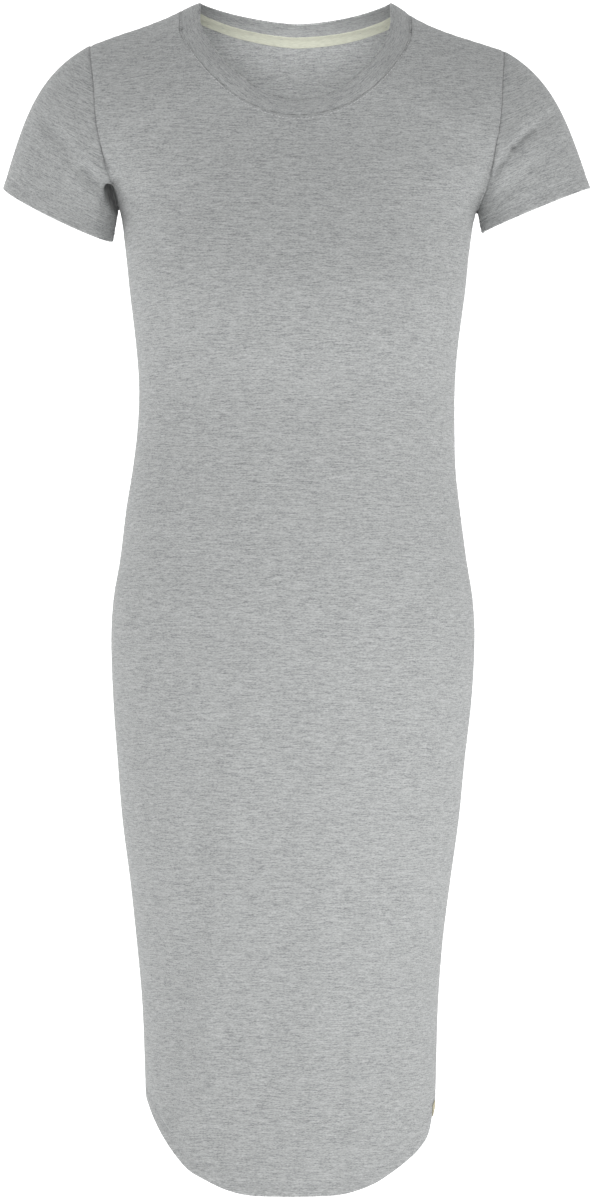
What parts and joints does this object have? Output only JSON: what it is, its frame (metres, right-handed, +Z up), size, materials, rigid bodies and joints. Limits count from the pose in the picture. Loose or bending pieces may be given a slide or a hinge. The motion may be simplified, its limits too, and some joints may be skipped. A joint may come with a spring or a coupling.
{
  "type": "t-shirt dress",
  "caption": "Knee-length short-sleeved t-shirt dress in grey melange jersey, round neck with a narrow band, shaped waist and a curved hem higher at the side seams, hollow in its worn form.",
  "frame": {"origin": "midway between the two high points of the neck opening, where the shoulders carry the dress", "axes": "+Z up the worn dress, -Y the way its front faces, +X to the right as seen from the front"},
  "size_m": [0.5288, 0.2409, 1.0611],
  "materials": {
    "jersey": "grey melange single jersey, matt",
    "neck_tape_cloth": "plain cream woven tape, matt",
    "hem_tab_cloth": "plain cream woven tab, matt"
  },
  "bodies": {
    "root": {"front_panel": "jersey", "back_panel": "jersey", "sleeve_left": "jersey", "sleeve_right": "jersey", "neckband": "jersey", "neck_tape": "neck_tape_cloth", "hem_tab": "hem_tab_cloth"}
  },
  "joints": []
}
